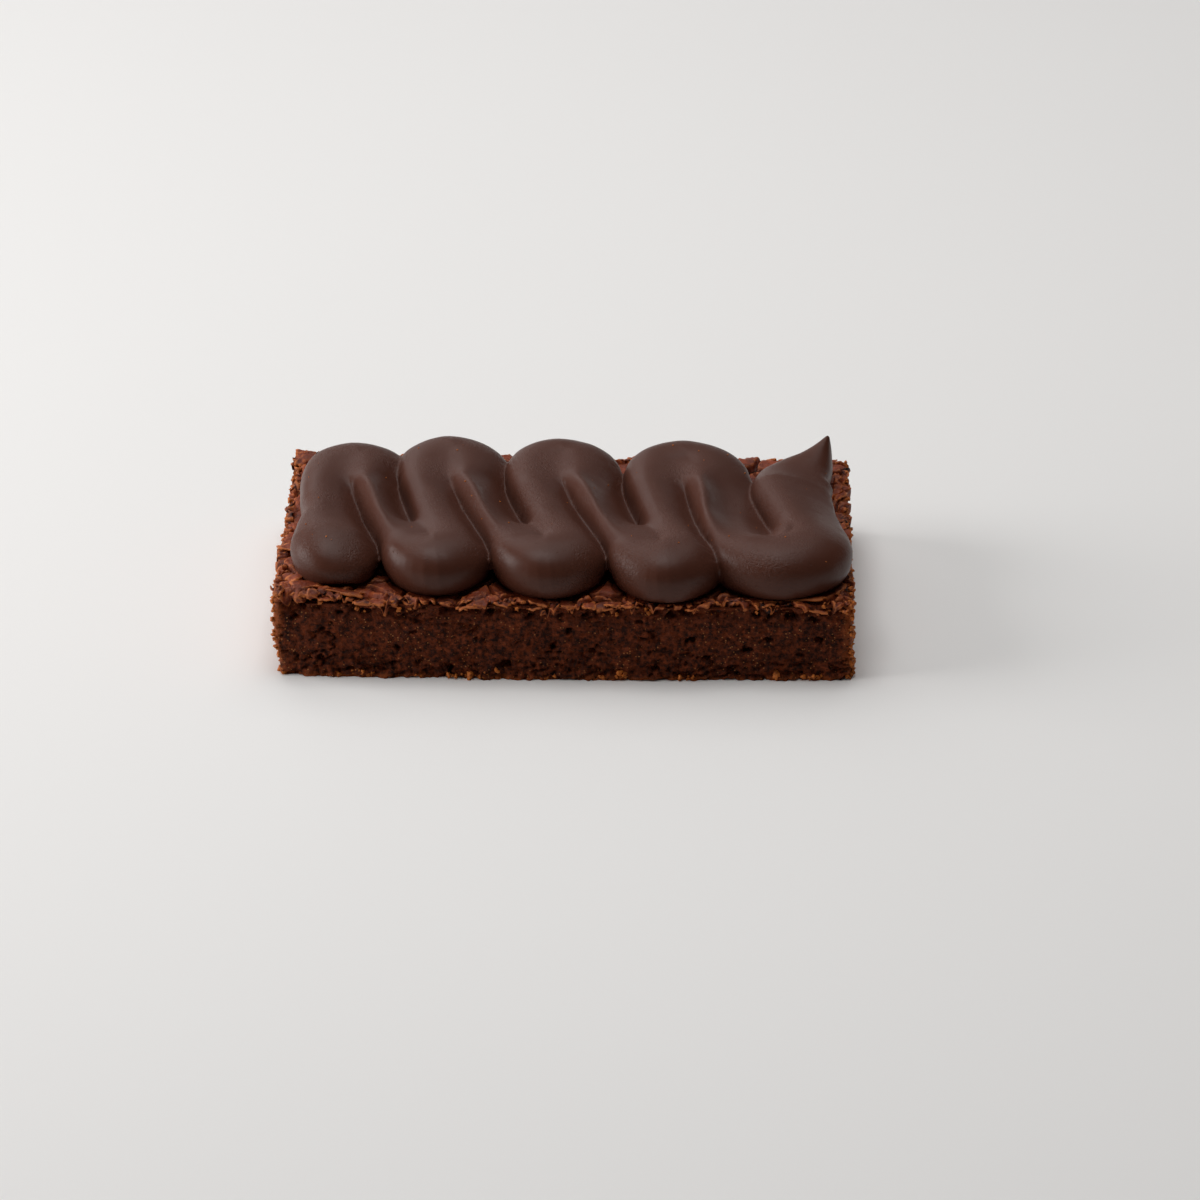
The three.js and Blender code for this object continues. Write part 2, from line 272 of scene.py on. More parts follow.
@dataclass
class GanacheRibbon:
    """The ribbon of ganache, piped from the left front to the right back."""

    turns: tuple[Turn, ...] = (
        Turn(-48.6, 14.4, 4.4, 5.2, -1, 13),
        Turn(-28.6, -22.6, 4.0, 6.2, 1, 9),
        Turn(-26.8, 17.1, 4.7, 6.2, -1, 10),
        Turn(-3.2, -23.0, 4.9, 6.8, 1, 9),
        Turn(-1.0, 16.0, 5.2, 6.6, -1, 12),
        Turn(23.2, -24.7, 4.6, 6.6, 1, 9),
        Turn(27.8, 14.7, 6.2, 7.4, -1, 11),
        Turn(48.6, -21.1, 8.2, 8.2, 1, 7),
    )
    start: tuple[tuple[float, float], ...] = ((-51.6, -23.2), (-52.6, -11.0))
    tail: tuple[tuple[float, float], ...] = ((53.0, 0.0), (51.8, 9.0), (53.4, 16.5), (57.0, 22.5), (60.6, 29.0))
    floor: float = 19.0
    half_width: float = 8.1
    crest: float = 10.4
    widest_at: float = 0.42
    undercut: float = 0.75
    start_swell: float = 1.3
    waist: float = 0.9
    turn_width: float = 0.7
    turn_height: float = 0.9
    lean_front: float = 0.12
    lean_back: float = 0.08
    tilt_front: float = 0.70
    tilt_back: float = -0.45
    spread_back: float = 0.22
    ridge_height: float = 1.9
    ridge_at: float = -0.72
    ridge_width: float = 0.22
    crispness: float = 0.45
    crease_depth: float = 1.9
    crease_width: float = 0.6
    crease_reach: float = 5.0
    valley_depth: float = 2.7
    valley_width: float = 0.75
    valley_reach: float = 4.5
    mark_at: float = 0.9
    nose: float = 1.12
    nose_drop: float = 1.4
    peak_lift: float = 7.0
    step: float = 0.6
    sides: int = 48
    cap_rings: int = 16
    web_half_width: float = 5.4
    web_front: float = 1.0
    web_back: float = 0.92
    web_longer: float = 4.0
    web_shift_front: float = 1.8
    web_shift_back: float = -1.0
    soft_front: tuple[float, float, int] = (-3.2, 4.5, 40)
    soft_back: tuple[float, float, int] = (-0.5, -3.5, 110)
    soft_start: tuple[float, float] = (-51.6, -27.5)
    soft_core: float = 3.5
    soft_reach: float = 7.5
    sharpening: int = 8
    sharpest: float = 0.25
    last_softening: float = 0.35
    foot: float = 3.0
    voxel: float = 0.36
    smoothing: int = 9
    kept_faces: float = 0.5
    laid: list[Station] = field(default_factory=list)

    def waypoints(self) -> list[Vector]:
        """Give the points that the centre line goes through.

        Returns:
            The points, from the start to the peak.
        """
        points = [Vector((x, y, 0)) for x, y in self.start]
        for turn in self.turns:
            for across, along in ((-1, 0), (-0.74, 0.66), (0, 1), (0.74, 0.66), (1, 0)):
                y = turn.y - turn.side * turn.reach * along
                points.append(Vector((turn.x + turn.half * across, y, 0)))
        return points + [Vector((x, y, 0)) for x, y in self.tail]

    def centre_line(self) -> list[Vector]:
        """Draw a centripetal Catmull-Rom curve through the waypoints.

        Returns:
            Points along the curve, an even step apart.
        """
        way = self.waypoints()
        way = [2 * way[0] - way[1], *way, 2 * way[-1] - way[-2]]
        dense = []
        for p0, p1, p2, p3 in zip(way, way[1:], way[2:], way[3:]):
            t1 = (p1 - p0).length ** 0.5
            t2 = t1 + (p2 - p1).length ** 0.5
            t3 = t2 + (p3 - p2).length ** 0.5
            for k in range(48):
                t = t1 + (t2 - t1) * k / 48
                a1 = p0.lerp(p1, t / t1)
                a2 = p1.lerp(p2, (t - t1) / (t2 - t1))
                a3 = p2.lerp(p3, (t - t2) / (t3 - t2))
                b1 = a1.lerp(a2, t / t2)
                b2 = a2.lerp(a3, (t - t1) / (t3 - t1))
                dense.append(b1.lerp(b2, (t - t1) / (t2 - t1)))
        dense.append(way[-2])
        line = [dense[0]]
        walked = 0.0
        for a, b in zip(dense, dense[1:]):
            gap = (b - a).length
            while walked + gap >= self.step:
                a = a.lerp(b, (self.step - walked) / gap)
                gap = (b - a).length
                walked = 0.0
                line.append(a)
            walked += gap
        line.append(dense[-1])
        return line

    def lay(self) -> None:
        """Work out every station of the ribbon."""
        line = self.centre_line()
        length = self.step * (len(line) - 1)
        for n, point in enumerate(line):
            heading = (line[min(n + 1, len(line) - 1)] - line[max(n - 1, 0)]).normalized()
            along = n * self.step
            left = length - along
            front = (1 - heading.y) / 2
            front_turn = rise(-point.y, 8, 30)
            back_turn = rise(point.y, 2, 22)
            start = math.exp(-((along / 9) ** 2))
            fading = clamp(left / 17)
            upright = clamp(left / 30)
            swell = self.turn_width * (front_turn + back_turn) + self.start_swell * start
            swell += math.exp(-(((left - 26) / 9) ** 2)) - self.waist * math.exp(-(((along - 15) / 6) ** 2))
            height = self.crest + self.turn_height * front_turn + 0.6 * start
            self.laid.append(Station(
                point=point,
                heading=heading,
                width=(self.half_width + swell) * fading ** 0.8 + 0.15,
                height=height * (0.35 + 0.65 * clamp(left / 24) ** 0.8),
                lean=(self.lean_back + (self.lean_front - self.lean_back) * front)
                * upright * (1 - 0.8 * back_turn),
                tilt=(self.tilt_back + (self.tilt_front - self.tilt_back) * front)
                * (1 - 0.85 * front_turn - 0.75 * back_turn),
                ridge=self.ridge_height * clamp(-heading.y) ** 2 * rise(-point.y, -15, 3)
                * (1 - 0.8 * rise(-point.y, 12, 26)),
                lift=self.peak_lift * clamp(1 - left / 22) ** 2.2,
                bend=self.curvature(line, n),
            ))

    def curvature(self, line: list[Vector], n: int) -> float:
        """Give how sharply the centre line bends at one of its points, positive to the left.

        Args:
            line: the centre line's points.
            n: the point's number.

        Returns:
            One over the bend's radius, in millimetres.
        """
        reach = 3
        if n < reach or n > len(line) - 1 - reach:
            return 0.0
        before = (line[n] - line[n - reach]).normalized()
        after = (line[n + reach] - line[n]).normalized()
        return before.cross(after).z / (reach * self.step)

    def section(self, station: Station, angle: float) -> Vector:
        """Give one point of the ribbon's outline at a station.

        Args:
            station: the station.
            angle: 0 at the left of the heading, a quarter turn on top.

        Returns:
            The point.
        """
        across = math.cos(angle)
        up = math.sin(angle)
        if up > 0:
            slope = 1 - station.tilt * (across + math.copysign(0.35, station.tilt))
            z = station.height * (self.widest_at + 0.6 * up ** 0.95 * slope)
        else:
            z = max(station.height * (self.widest_at + self.undercut * up), 0)
        offset = across * station.width
        if across < 0:
            inner = (1 - rise(station.point.x, 38, 48)) * (1 - rise(-station.point.y, 8, 20))
            offset *= 1 + self.spread_back * clamp(station.heading.y) * inner
        inward = offset * station.bend
        if inward > 0:
            offset /= (1 + inward ** 4) ** 0.25
        x = station.point.x - station.heading.y * offset
        y = station.point.y + station.heading.x * offset
        side = (x - station.point.x) / max(station.width, 0.1)
        crest = self.ridge_at + 0.2 * rise(station.point.y, -14, 4)
        z += max(up, 0) * station.ridge * math.exp(-(((side - crest) / self.ridge_width) ** 2))
        z -= max(up, 0) * station.ridge * 0.7 * math.exp(-(((side - crest - 0.62) / 0.34) ** 2))
        x -= station.lean * max(z - 2, 0)
        return Vector((x, y, self.floor + z + station.lift * clamp(up * 0.5 + 0.5)))

    def cap_point(self, angle: float, share: float) -> Vector:
        """Give one point of the rounded start.

        Args:
            angle: the place on the outline.
            share: 0 at the tip of the cap, 1 where the ribbon begins.

        Returns:
            The point.
        """
        first = self.laid[0]
        centre = first.point + Vector((0, 0, self.floor + self.widest_at * first.height))
        bend = share * math.pi / 2
        point = centre + (self.section(first, angle) - centre) * math.sin(bend)
        point -= first.heading * first.width * self.nose * math.cos(bend)
        point.z = max(point.z - self.nose_drop * math.cos(bend), self.floor)
        return point

    def strokes(self) -> bmesh.types.BMesh:
        """Wrap a grid round the stations, from the rounded start to the peak.

        Returns:
            A closed tube that overlaps itself where the strokes lie on each other.
        """
        bm = bmesh.new()
        rows = self.cap_rings + len(self.laid) - 1
        bmesh.ops.create_grid(bm, x_segments=rows, y_segments=self.sides, size=1)
        for vert in bm.verts:
            row = round((vert.co.x + 1) / 2 * rows)
            angle = math.pi * (vert.co.y + 1)
            if row < self.cap_rings:
                vert.co = self.cap_point(angle, (row + 0.3) / self.cap_rings)
            else:
                vert.co = self.section(self.laid[row - self.cap_rings], angle)
        bmesh.ops.remove_doubles(bm, verts=bm.verts, dist=0.0005)
        bmesh.ops.holes_fill(bm, edges=[e for e in bm.edges if e.is_boundary], sides=0)
        bmesh.ops.recalc_face_normals(bm, faces=bm.faces)
        return bm

    def add_webs(self, bm: bmesh.types.BMesh) -> None:
        """Fill the inside of each turn, where the ganache has run together.

        Args:
            bm: the strokes, to which the webs are added.
        """
        for turn in self.turns:
            height = self.crest * (self.web_front if turn.side > 0 else self.web_back)
            length = turn.web + (self.web_longer if turn.side > 0 else 0)
            shape = Matrix.Diagonal((self.web_half_width, length, height, 1))
            shift = self.web_shift_front if turn.side > 0 else self.web_shift_back
            middle = Vector((turn.x + shift, turn.y, self.floor + 0.3))
            ball = bmesh.ops.create_uvsphere(
                bm, u_segments=32, v_segments=16, radius=1, matrix=Matrix.Translation(middle) @ shape
            )
            for vert in ball["verts"]:
                vert.co.z = max(vert.co.z, self.floor)

    def settle(self, skin: bmesh.types.BMesh) -> None:
        """Let the inside of each turn run smooth, and make the creases and ridges elsewhere crisper.

        Args:
            skin: the ribbon's skin.
        """
        middles = []
        for turn in self.turns:
            shift_x, shift_y, times = self.soft_front if turn.side > 0 else self.soft_back
            middles.append((Vector((turn.x + shift_x, turn.y + shift_y)), times))
        middles.append((Vector(self.soft_start), self.soft_front[2]))
        soft, rounds = {}, {}
        for vert in skin.verts:
            if vert.co.z > self.floor + self.foot:
                near, times = min(((vert.co.xy - middle).length, times) for middle, times in middles)
                if near < self.soft_reach:
                    soft[vert] = 1 - rise(near, self.soft_core, self.soft_reach)
                    rounds[vert] = soft[vert] * times
        for done in range(self.soft_back[2]):
            soften(skin, [vert for vert in rounds if rounds[vert] > done])
        before = [vert.co.copy() for vert in skin.verts]
        for _ in range(self.sharpening):
            soften(skin, skin.verts)
        for vert, crisp in zip(skin.verts, before):
            sharper = (crisp - vert.co) * self.crispness * (1 - soft.get(vert, 0.0))
            if sharper.length > self.sharpest:
                sharper *= self.sharpest / sharper.length
            vert.co = crisp + sharper
        self.score(skin)
        soften(skin, skin.verts, self.last_softening)

    def score(self, skin: bmesh.types.BMesh) -> None:
        """Deepen the creases and valleys where two strokes lie against each other.

        Args:
            skin: the ribbon's skin.
        """
        creases, valleys = [], []
        for station, after in zip(self.laid, self.laid[1:]):
            y = station.point.y
            forth = clamp(-station.heading.y) ** 2 * rise(-y, -12, 1) * (1 - rise(-y, 20, 29))
            back = clamp(station.heading.y) ** 2 * rise(y, -16, -6) * (1 - rise(y, 10, 18))
            back *= rise(station.point.x, -45, -35) * (1 - rise(station.point.x, 30, 42))
            for across, share, marks in ((-self.mark_at, forth, creases), (self.mark_at, back, valleys)):
                angle = math.acos(across)
                here, there = self.section(station, angle), self.section(after, angle)
                marks += [(here.lerp(there, k / 4), share) for k in range(4) if share > 0.01]
        surface = BVHTree.FromBMesh(skin)
        for marks, depth, width, reach in (
            (creases, self.crease_depth, self.crease_width, self.crease_reach),
            (valleys, self.valley_depth, self.valley_width, self.valley_reach),
        ):
            marks = self.grooved(surface, marks)
            tree = kdtree.KDTree(len(marks))
            for number, (mark, _) in enumerate(marks):
                tree.insert((mark.x, mark.y, 0), number)
            tree.balance()
            for vert in skin.verts:
                if vert.co.z > self.floor + self.foot:
                    _, number, away = tree.find((vert.co.x, vert.co.y, 0))
                    mark, share = marks[number]
                    spread = width * (reach if vert.co.x < mark.x else 1)
                    vert.co.z -= depth * share * math.exp(-((away / spread) ** 2))

    def grooved(self, surface: BVHTree, marks: list[tuple[Vector, float]]) -> list[tuple[Vector, float]]:
        """Move marks sideways to the bottom of the groove beside them.

        Args:
            surface: the ribbon's skin.
            marks: places in order along the strokes, each with its share.

        Returns:
            The moved marks, with the line that they make evened.
        """
        shifts = []
        for mark, _ in marks:
            best, shift = math.inf, 0.0
            for k in range(-10, 11):
                hit = surface.ray_cast(Vector((mark.x + 0.3 * k, mark.y, 60)), Vector((0, 0, -1)))[0]
                if hit and hit.z + 0.01 * k * k < best:
                    best, shift = hit.z + 0.01 * k * k, 0.3 * k
            shifts.append(shift)
        moved = []
        for n, (mark, share) in enumerate(marks):
            near = [k for k in range(max(n - 12, 0), min(n + 13, len(marks))) if (marks[k][0] - mark).length < 4]
            middle = sorted(shifts[k] for k in near)[len(near) // 2]
            moved.append((mark + Vector((middle, 0, 0)), share))
        return moved

    def build(self, finisher: Finisher, material: bpy.types.Material) -> bpy.types.Object:
        """Make the ribbon.

        Args:
            finisher: makes the piece.
            material: the ganache's finish.

        Returns:
            The ribbon.
        """
        bm = self.strokes()
        self.add_webs(bm)
        voxel = self.voxel * 1
        skin = finisher.remeshed(bm, voxel, self.smoothing, self.kept_faces)
        self.settle(skin)
        for vert in skin.verts:
            uneven = 0.16 * lumps(vert.co, 9, 2) + 0.05 * lumps(vert.co, 3.5, 5)
            vert.co += vert.normal * uneven * rise(vert.co.z, self.floor, self.floor + 2)
        return finisher.piece("ganache_ribbon", skin, material, "ganache", "ganache")

    def clear_level(self, x: float, y: float, tree: kdtree.KDTree, bed: float) -> float:
        """Give the highest level of the crust that stays clear of the ribbon's underside.

        Args:
            x: the place along the bar.
            y: the place across the bar.
            tree: the stations' places.
            bed: the level of the crust under the ribbon.

        Returns:
            The level.
        """
        _, index, distance = tree.find((x, y, 0))
        station = self.laid[index]
        share = max(distance - 0.9, 0) / station.width
        if share >= 1:
            return 99.0
        curve = self.undercut * math.sqrt(1 - share ** 2)
        return bed + max(station.height * (self.widest_at - curve), 0)

    def tree(self) -> kdtree.KDTree:
        """Sort the stations' places for a fast search.

        Returns:
            The sorted places.
        """
        tree = kdtree.KDTree(len(self.laid))
        for n, station in enumerate(self.laid):
            tree.insert(station.point, n)
        tree.balance()
        return tree


@dataclass
class StraySpecks:
    """Specks of crust and crumb that have fallen on the ganache."""

    seed: int = 5
    count: int = 46
    smallest: float = 0.08
    largest: float = 0.22
    shown: tuple[tuple[float, float], ...] = (
        (-56.6, -26.5), (-53.4, -27.4), (-52.2, -28.2), (-61.3, -11.0), (-42.1, 9.5), (9.4, 7.8),
        (12.3, 25.6), (41.0, 15.6), (43.5, -13.6), (0.2, -2.5), (28.0, -17.5), (-12.6, -18.3),
    )

    def build(
        self, finisher: Finisher, material: bpy.types.Material, ribbon: bpy.types.Object
    ) -> bpy.types.Object:
        """Drop the specks on the ribbon.

        Args:
            finisher: makes the piece.
            material: the specks' finish.
            ribbon: the finished ribbon.

        Returns:
            The specks.
        """
        chance = random.Random(self.seed)
        spots = list(self.shown)
        while len(spots) < self.count:
            spots.append((chance.uniform(-60, 62), chance.uniform(-34, 24)))
        bm = bmesh.new()
        for number, (x, y) in enumerate(spots):
            above = finisher.place.point(x, y, 60)
            hit, where, normal, _ = ribbon.ray_cast(above, Vector((0, 0, -1)))
            if not hit:
                continue
            size = chance.uniform(self.smallest, self.largest)
            spot = finisher.place.matrix().inverted() @ where
            if spot.z < 22:
                continue
            speck = bmesh.new()
            bmesh.ops.create_icosphere(speck, subdivisions=1, radius=size)
            for vert in speck.verts:
                uneven = 1 + 0.6 * noise.noise(vert.co / size + Vector((number * 2.3, 0, 0)))
                vert.co = spot + normal * size * 0.25 + vert.co * uneven
            join(bm, speck)
        return finisher.piece("stray_specks", bm, material, "ganache", "ganache")


@dataclass
class FudgeBar:
    """The baked bar: dense crumb on the cut faces, toasted at its two ends and its foot."""

    half_length: float = 65.0
    back: float = 38.0
    front: float = -38.0
    front_bow: float = 1.2
    top: float = 18.1
    corner: float = 1.6
    worn_corner: float = 5.0
    cell: float = 0.38
    left_foot_inset: float = 1.7
    holes: tuple[tuple[float, float, float, float], ...] = (
        (-60.1, 14.6, 1.4, 0.5), (-54.1, 11.7, 0.6, 0.4), (-33.6, 11.5, 0.6, 0.4), (-37.0, 7.6, 0.8, 0.4),
        (-54.7, 4.6, 1.2, 0.4), (-37.8, 3.5, 0.7, 0.4), (32.5, 5.8, 1.4, 0.5), (41.5, 7.6, 1.2, 0.5),
        (-26.5, 17.0, 1.4, 0.8), (-16.2, 16.6, 1.9, 0.5), (-7.2, 15.7, 1.2, 0.4), (1.5, 12.2, 0.7, 0.8),
        (-2.1, 8.4, 0.6, 0.9), (-12.9, 3.7, 2.1, 1.0), (-0.5, 16.3, 0.9, 0.5), (5.1, 16.3, 1.2, 0.5),
        (6.7, 7.0, 0.9, 0.4), (-49.9, 16.1, 0.9, 0.4), (-44.2, 16.6, 1.4, 0.4), (-58.3, 17.2, 1.2, 0.8),
        (24.1, 16.1, 1.4, 0.6), (27.5, 16.6, 0.7, 0.5), (43.4, 16.2, 1.2, 0.5), (46.7, 16.2, 0.9, 0.5),
        (51.2, 16.0, 2.1, 0.8), (56.6, 15.1, 1.2, 0.4), (17.4, 14.6, 1.4, 0.3), (28.7, 10.1, 1.6, 0.3),
        (46.6, 10.1, 1.4, 0.3), (53.4, 6.3, 1.6, 0.4), (57.8, 10.1, 1.2, 0.3), (20.8, 3.0, 1.4, 0.4),
        (37.7, 3.0, 1.6, 0.4), (-47.9, 2.0, 1.2, 0.4), (-25.4, 2.5, 1.2, 0.4),
    )

    def outline(self, share: float) -> tuple[Vector, Vector]:
        """Walk round the bar's foot.

        Args:
            share: how far round, from 0 to 1.

        Returns:
            The point and the direction outwards.
        """
        depth = self.back - self.front
        around = share * (4 * self.half_length + 2 * depth)
        sharp, worn = self.corner, self.worn_corner
        sides = (
            (Vector((-self.half_length, self.front, 0)), Vector((1, 0, 0)), 2 * self.half_length, sharp, sharp),
            (Vector((self.half_length, self.front, 0)), Vector((0, 1, 0)), depth, sharp, worn),
            (Vector((self.half_length, self.back, 0)), Vector((-1, 0, 0)), 2 * self.half_length, worn, sharp),
            (Vector((-self.half_length, self.back, 0)), Vector((0, -1, 0)), depth, sharp, sharp),
        )
        for corner, way, length, first, last in sides:
            if around <= length or way.y < 0:
                break
            around -= length
        outward = Vector((way.y, -way.x, 0))
        point = corner + way * around
        near = min(around, length - around)
        radius = first if around < length / 2 else last
        if near < radius:
            bend = (1 - near / radius) * math.pi / 4
            aside = -way if around < length / 2 else way
            point -= outward * radius * (1 - math.cos(bend))
            point += aside * (radius * math.sin(bend) - (radius - near))
            outward = outward * math.cos(bend) + aside * math.sin(bend)
        if way.x > 0:
            point.y -= self.front_bow * (1 - (point.x / self.half_length) ** 2)
        return point, outward

    def crumb(self, point: Vector) -> float:
        """Give the relief of the cut crumb: lumps, pores and short level cracks.

        Args:
            point: the place on the face.

        Returns:
            How far the surface stands out.
        """
        low = 1 - rise(point.z, 1.5, 6)
        high = rise(point.z, 13.5, 16.5)
        broken = 0.55 + 0.6 * low + 0.9 * high
        out = 0.40 * lumps(point, 6.5, 1) + 0.32 * broken * lumps(point, 2.6, 2)
        out += 0.38 * broken * lumps(point, 1.4, 3) + 0.30 * lumps(point, 0.85, 4)

        near = noise.voronoi(point / 2.7)
        owner = near[1][0]
        size = 0.12 + 0.26 * (0.5 + 0.5 * noise.cell(owner * 7.3)) ** 3
        out -= 0.9 * rise(size - near[0][0], 0, size) * (noise.cell(owner * 3.1) > -0.2)

        layer = Vector((point.x / 6.5, point.y / 6.5, point.z / 1.7))
        crack = abs(noise.noise(layer + Vector((9, 4, 2))))
        where = rise(noise.noise(point / 9 + Vector((3, 8, 5))) + 0.25 * (low + high), 0.02, 0.3)
        out -= 1.2 * where * rise(0.09 - crack, 0, 0.09)
        return out

    def hollow(self, point: Vector) -> float:
        """Give the depth of the open holes that the cut has laid bare on the front.

        Args:
            point: the place on the face.

        Returns:
            How deep the surface is sunk.
        """
        depth = 0.0
        ragged = Vector((lumps(point, 1.1, 71), 0, lumps(point, 1.1, 73))) * 0.75
        for x, z, wide, high in self.holes:
            across = (point.x + ragged.x - x) / (wide * 0.85 + 0.2)
            if abs(across) < 1:
                away = math.hypot(across, (point.z + ragged.z - z) / (high * 0.8 + 0.2))
                depth = max(depth, 2.4 * rise(1 - away, 0, 0.55))
        return depth

    def build(self, finisher: Finisher, material: bpy.types.Material) -> bpy.types.Object:
        """Make the bar: a ring of its outline, drawn up layer by layer and closed.

        Args:
            finisher: makes the piece.
            material: the crumb's finish.

        Returns:
            The bar.
        """
        cell = self.cell * 1
        around = round((4 * self.half_length + 2 * (self.back - self.front)) / cell)
        layers = round(self.top / cell)
        bm = bmesh.new()
        bmesh.ops.create_grid(bm, x_segments=around, y_segments=layers, size=1)
        for vert in bm.verts:
            point, outward = self.outline((vert.co.x + 1) / 2 % 1)
            point.z = (vert.co.y + 1) / 2 * self.top
            end = abs(outward.x) > 0.8
            out = self.crumb(point) * (0.75 if end else 1)
            out += 0.8 * (1 - rise(point.z, 0.4, 2.4)) * (0.3 + lumps(point, 2.6, 12) + 0.5 * lumps(point, 1.1, 13))
            out -= 0.4 * math.exp(-(((point.z - 15.8) / 1.0) ** 2))
            torn = rise(noise.noise(Vector((point.x / 3.1, point.y / 3.1, 6))), -0.25, 0.2)
            out -= 1.5 * torn * math.exp(-(((point.z - 17.1) / 0.55) ** 2))
            if outward.y < -0.5:
                out -= self.hollow(point)
            if outward.x < 0:
                out -= -outward.x * self.left_foot_inset * (1 - rise(point.z, 0, 9))
            vert.co = point + outward * out
            if 0.2 < vert.co.z < self.top - 0.2:
                vert.co.z += 0.12 * lumps(point, 0.9, 21)
        bmesh.ops.remove_doubles(bm, verts=bm.verts, dist=0.01)
        close(bm)
        return finisher.piece("fudge_crumb", bm, material, "crumb", "brownie")


@dataclass
class PaperyCrust:
    """The thin baked skin on top, cracked into plates and frayed at its rim."""

    bar: FudgeBar
    ribbon: GanacheRibbon
    thickness: float = 1.05
    cell: float = 0.35
    plate: float = 7.5
    bed_gap: float = 0.3
    left_corner_rise: float = 1.9
    back_corner_rise: float = 1.5
    right_corner_drop: float = 1.2

    def level(self, x: float, y: float) -> float:
        """Give the crust's level before its plates and wrinkles.

        Args:
            x: the place along the bar.
            y: the place across the bar.

        Returns:
            The level.
        """
        front = rise(-y, 22, 37)
        left = rise(-x, 40, 61) * front
        right = rise(x, 52, 65) * front
        raised = self.left_corner_rise * left + self.back_corner_rise * rise(-x, 54, 64) * rise(y, 24, 37)
        return self.ribbon.floor + raised - self.right_corner_drop * right

    def relief(self, x: float, y: float) -> float:
        """Give the height of the plates, the cracks between them and the fine wrinkles.

        Args:
            x: the place along the bar.
            y: the place across the bar.

        Returns:
            The height above the crust's level.
        """
        point = Vector((x, y, 0))
        warped = point + 1.1 * Vector((lumps(point, 3, 31), lumps(point, 3, 33), 0))
        near = noise.voronoi(warped / self.plate)
        shard = warped - near[1][0] * self.plate
        lift = 0.45 * noise.cell(near[1][0] * 5.7) + 0.1
        lift += 0.13 * (shard.x * noise.cell(near[1][0] * 2.1) + shard.y * noise.cell(near[1][0] * 2.9))
        gap = (near[0][1] - near[0][0]) * self.plate
        crack = 1.6 * rise(0.8 - gap, 0, 0.8) + 0.3 * rise(1.8 - gap, 0, 1.8)
        small = noise.voronoi(warped / 3.4 + Vector((5, 5, 0)))
        chip = warped - (small[1][0] - Vector((5, 5, 0))) * 3.4
        fine = 0.7 * rise(0.12 - (small[0][1] - small[0][0]), 0, 0.12) - 0.3 * noise.cell(small[1][0] * 3.3)
        fine -= 0.25 * (chip.x * noise.cell(small[1][0] * 2.3) + chip.y * noise.cell(small[1][0] * 3.1))
        edge = clamp(rise(-y, 31, 36) + 0.7 * rise(abs(x), 61, 65))
        folds = 1 - 2 * abs(noise.noise(Vector((x / 7.5, y / 2.6, 3))))
        return (
            lift * (0.7 + 0.5 * edge) - crack - fine * edge
            + 0.26 * folds * (1 - 0.6 * edge) + 0.12 * lumps(point, 1.4, 35) + 0.05 * lumps(point, 0.7, 36)
        )

    def build(self, finisher: Finisher, material: bpy.types.Material) -> bpy.types.Object:
        """Make the crust: a sheet with relief, its rim drawn down over the crumb.

        Args:
            finisher: makes the piece.
            material: the crust's finish.

        Returns:
            The crust.
        """
        tree = self.ribbon.tree()
        cell = self.cell * 1
        half_length = self.bar.half_length + 0.3
        middle = (self.bar.back + self.bar.front) / 2
        half_depth = (self.bar.back - self.bar.front) / 2 + 0.3
        bm = bmesh.new()
        bmesh.ops.create_grid(
            bm,
            x_segments=round(2 * half_length / cell),
            y_segments=round(2 * half_depth / cell),
            size=1,
        )
        for vert in bm.verts:
            x = vert.co.x * half_length
            y = middle + vert.co.y * half_depth
            fray = 0.5 * lumps(Vector((x, y, 0)), 1.6, 42) + 0.25 * lumps(Vector((x, y, 0)), 0.8, 43)
            block = noise.voronoi(Vector((x / 3.8, y / 3.8, 5)))
            fray += 0.6 * noise.cell(block[1][0] * 4.1)
            fray -= 1.4 * rise(0.2 - (block[0][1] - block[0][0]), 0, 0.2)
            near_x = rise(abs(vert.co.x), 0.955, 1)
            near_y = rise(abs(vert.co.y), 0.93, 1)
            bow = self.bar.front_bow * (1 - vert.co.x ** 2) * clamp(-vert.co.y)
            z = self.level(x, y) + self.relief(x, y) - 0.35 * max(near_x, near_y) ** 3
            z = min(z, self.ribbon.clear_level(x, y, tree, self.ribbon.floor - self.bed_gap))
            dx = x - (half_length - self.bar.worn_corner)
            dy = y - (self.bar.back - self.bar.worn_corner)
            if dx > 0 and dy > 0:
                pull = 1 - max(dx, dy) / math.hypot(dx, dy)
                x -= dx * pull
                y -= dy * pull
            vert.co = Vector((x + fray * near_x * vert.co.x, y - bow + fray * near_y * vert.co.y, z))
        rim = [e for e in bm.edges if e.is_boundary]
        for step in range(1, 4):
            drawn = bmesh.ops.extrude_edge_only(bm, edges=rim)["geom"]
            rim = [g for g in drawn if isinstance(g, bmesh.types.BMEdge)]
            for vert in (g for g in drawn if isinstance(g, bmesh.types.BMVert)):
                vert.co.z -= self.thickness / 3 * (1 + 0.5 * lumps(vert.co, 2.1, 50 + step))
                inward = Vector((-vert.co.x / half_length, -(vert.co.y - middle) / half_depth, 0))
                vert.co += inward * (0.05 + 0.25 * (step > 1)) * (1 + lumps(vert.co, 1.7, 60 + step))
        close(bm)
        return finisher.piece("papery_crust", bm, material, "crumb", "brownie")


@dataclass(frozen=True)
class Flake:
    """One thin flake of crust.

    Args:
        x: its middle along the bar.
        y: its middle across the bar.
        z: its level.
        length: its size along the bar.
        depth: its size across the bar.
        turn: how far it is turned, in degrees.
        pitch: how far its front edge is raised, in degrees.
        roll: how far its right edge is raised, in degrees.
    """

    x: float
    y: float
    z: float
    length: float
    depth: float
    turn: float = 0.0
    pitch: float = 0.0
    roll: float = 0.0


